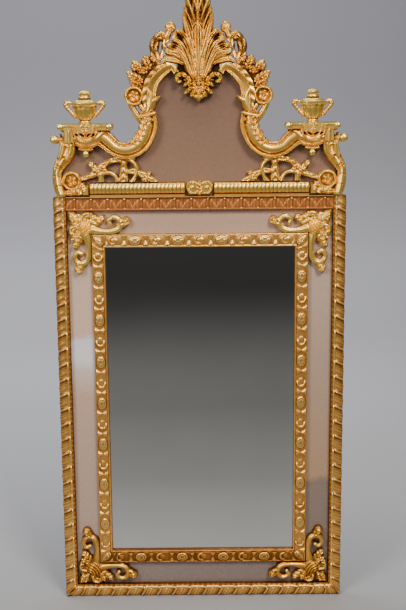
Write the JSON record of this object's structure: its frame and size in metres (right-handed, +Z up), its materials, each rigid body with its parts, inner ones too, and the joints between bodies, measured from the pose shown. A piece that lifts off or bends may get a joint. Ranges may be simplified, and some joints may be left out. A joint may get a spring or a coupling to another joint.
{
  "type": "wall mirror",
  "caption": "Tall carved and gilt wall mirror: plain plate within border glasses, leaf-carved mouldings, pierced corner scrolls and a scrolled crest with urns and a shell.",
  "frame": {"origin": "on the flat back of the frame, in the middle of its top rail, where the wall fixing is", "axes": "+Z up, +X to the viewer's right, +Y out of the back towards the wall; the front faces -Y"},
  "size_m": [0.8416, 0.0648, 1.7783],
  "materials": {
    "gilding": "carved wood, water gilt over red clay, worn and toned",
    "frieze_gilding": "carved wood, gilding rubbed through to red clay",
    "mirror_plate": "silvered plate glass",
    "border_plate": "old silvered glass, toned warm taupe",
    "back_wood": "plain stained softwood"
  },
  "bodies": {
    "root": {"frame_backboard": "back_wood", "crest_backboard": "back_wood", "outer_moulding_left": "gilding", "outer_moulding_right": "gilding", "outer_moulding_bottom": "gilding", "inner_moulding_left": "gilding", "inner_moulding_right": "gilding", "inner_moulding_top": "gilding", "inner_moulding_bottom": "gilding", "corner_mount_top_left": "gilding", "corner_mount_top_right": "gilding", "corner_mount_bottom_left": "gilding", "corner_mount_bottom_right": "gilding", "crest_rail_left": "gilding", "crest_rail_right": "gilding", "rail_clasp": "gilding", "crest_side_left": "gilding", "crest_side_right": "gilding", "shell_crown": "gilding", "urn_left": "gilding", "urn_right": "gilding", "frieze_moulding": "frieze_gilding", "main_glass": "mirror_plate", "border_glass_top": "border_plate", "border_glass_bottom": "border_plate", "border_glass_left_upper": "border_plate", "border_glass_left_lower": "border_plate", "border_glass_right_upper": "border_plate", "border_glass_right_lower": "border_plate", "crest_glass": "border_plate"}
  },
  "joints": []
}
